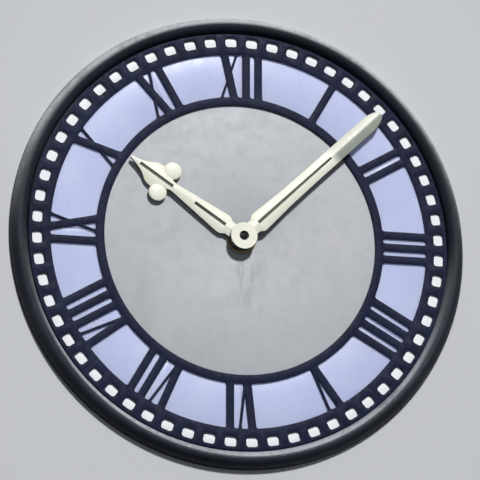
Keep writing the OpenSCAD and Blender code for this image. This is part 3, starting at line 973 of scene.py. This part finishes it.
def blade(bm, side, back_h, seams, soiled_and_shaded_from=1.0):
    """A ridged hand towards twelve o'clock, from the (half width, distance) points of its right
    side. A seam is (start, end, half width at its end)."""
    for start, end, _ in seams:
        for along in (start - seam_end_wall, start, end, end + seam_end_wall):
            side = with_row(side, along)
    side = with_row(side, soiled_and_shaded_from + soil_and_shade_fade)
    seam = bm.verts.layers.float.new("seam")
    soil_and_shade = bm.verts.layers.float.new("soil_and_shade")
    rows = len(side)
    slope = (ridge_t - edge_t) / ridge_half_w
    for v in bmesh.ops.create_grid(bm, x_segments=6, y_segments=rows - 1, size=1)["verts"]:
        half_w, along = side[round((v.co.y + 1) / 2 * (rows - 1))]
        column = round(v.co.x * 3)
        seam_edge = seam_half_w
        in_seam = False
        for start, end, end_half_w in seams:
            if start - seam_end_wall / 2 < along < end + seam_end_wall / 2:
                seam_edge += (end_half_w - seam_half_w) * (along - start) / (end - start)
                in_seam = True
        place_across = (0, seam_edge - seam_wall, seam_edge, half_w)[abs(column)]
        x = min(place_across, half_w * abs(column) / 3)
        height = back_h + ridge_t - slope * x
        if abs(column) < 2 and in_seam:
            height = back_h + ridge_t - seam_depth
            v[seam] = 1.0
        if along > soiled_and_shaded_from + soil_and_shade_fade / 2:
            v[soil_and_shade] = soil_left if column < 0 else right_soil_and_shade if column > 0 else ridge_soil_and_shade
        v.co = (math.copysign(x, column), along, height)
    for v in extruded(bm, list(bm.faces)):
        v.co.z = back_h
        v[seam] = 0.0


def ball(bm, x, y, back_h):
    """A domed ball with a plain edge, beside the hour hand's shaft."""
    dome = arch(0, ball_r, back_h + edge_t, ball_top_t - edge_t, steps=10, sweep=math.pi / 2)
    turned(bm, [(0, back_h), (ball_r, back_h), *dome], middle=(x, y), steps=48)


cream_paint = hand_paint()
hour_hand = bmesh.new()
point_foot = (0.044, 0.350)
point_waist = (0.034, 0.402)
hour_seams = [(seam_start, first_seam_end, seam_half_w), (second_seam_start, seam_end, seam_half_w)]
blade(hour_hand, [
    *shoulder(), Vector((0.036, 0.100)),
    *curved((0.016, 0.292), (0.014, 0.322), (0.038, 0.324), point_foot),
    *curved(point_foot, (0.046, 0.372), (0.044, 0.390), point_waist)[1:],
    *curved(point_waist, (0.022, 0.414), (0.012, 0.440), (0.003, hour_length))[1:],
], hour_back_h, hour_seams)
for side in (-1, 1):
    ball(hour_hand, side * ball_x, ball_y, hour_back_h)
bmesh.ops.recalc_face_normals(hour_hand, faces=hour_hand.faces)
eased(hour_hand, width=0.0009, sharper_than=60)
clockwise(hour_hand, hour_turn)
turned(hour_hand, squared(pipe_r, boss_r - 0.001, hour_back_h - 0.004, hour_back_h + ridge_t),
       steps=96)
hang("hour_hand_cream", hour_hand, cream_paint, "hour_motion", "hour_hand")

steel = turned_metal("turned_steel", dark=(0.07, 0.07, 0.075), light=(0.24, 0.24, 0.25),
                     metallic=0.9, rough=0.35)
pipe = bmesh.new()
turned(pipe, [
    (pipe_bore_r, pipe_back_h), (pipe_end_r, pipe_back_h), (pipe_end_r, pipe_step_h),
    (pipe_r, pipe_step_h), (pipe_r, hour_back_h + ridge_t), (pipe_bore_r, hour_back_h + ridge_t),
], steps=64)
eased(pipe, width=0.0008)
hang("turned_hour_pipe", pipe, steel, "hour_motion", "hour_pipe")

# Minute hand
# The long hand on the minute arbor, made as the hour hand is, with one seam and a blunt tip. Beyond
# the seam it is greyed: soil, and on its ridge and right-hand facet also painted shade of the side
# that turns from the light. Its boss has a recess for the nut that holds it on the arbor.
minute_turn = math.radians(46.2)
minute_back_h = 0.048
minute_length = 0.696
minute_seam_end_half_w = 0.004
boss_front_h = 0.066
recess_r = 0.017
recess_h = 0.053
arbor_r = 0.012
arbor_end_r = 0.010
arbor_back_h = -0.140
arbor_step_h = arbor_back_h + 0.042
arbor_front_h = recess_h + 0.003
hand_nut_r = recess_r - 0.002
hand_nut_t = 0.006

minute_hand = bmesh.new()
blade(minute_hand, [
    *shoulder(), Vector((0.031, 0.200)), Vector((0.029, 0.330)), Vector((0.029, 0.640)),
    *curved((0.028, 0.650), (0.025, 0.668), (0.017, minute_length - 0.004),
            (0.006, minute_length)),
], minute_back_h, [(seam_start, seam_end, minute_seam_end_half_w)], soiled_and_shaded_from=seam_end)
bmesh.ops.recalc_face_normals(minute_hand, faces=minute_hand.faces)
eased(minute_hand, width=0.0009, sharper_than=60)
clockwise(minute_hand, minute_turn)
turned(minute_hand, [
    (arbor_r, minute_back_h), (boss_r, minute_back_h), (boss_r, boss_front_h),
    (recess_r, boss_front_h), (recess_r, recess_h), (arbor_r, recess_h),
], steps=96)
hang("minute_hand_cream", minute_hand, cream_paint, "minute_motion", "minute_hand")

arbor = bmesh.new()
turned(arbor, [
    (0, arbor_back_h), (arbor_end_r, arbor_back_h), (arbor_end_r, arbor_step_h),
    (arbor_r, arbor_step_h), (arbor_r, arbor_front_h), (0, arbor_front_h),
], steps=64)
eased(arbor, width=0.0008)
# The arbor's end, down in the boss's recess, is marked black: grease, and painted shade of the
# recess.
grease_and_shade = arbor.verts.layers.float.new("grease_and_shade")
for v in arbor.verts:
    v[grease_and_shade] = 1.0 if v.co.z > recess_h - 0.002 else 0.0
hang("turned_minute_arbor", arbor, steel, "minute_motion", "minute_arbor")

hand_nut = bmesh.new()
turned(hand_nut, squared(arbor_r, hand_nut_r, recess_h, recess_h + hand_nut_t), steps=48)
eased(hand_nut, width=0.0008)
hang("minute_hand_nut", hand_nut, iron, "minute_motion", "arbor_nut")
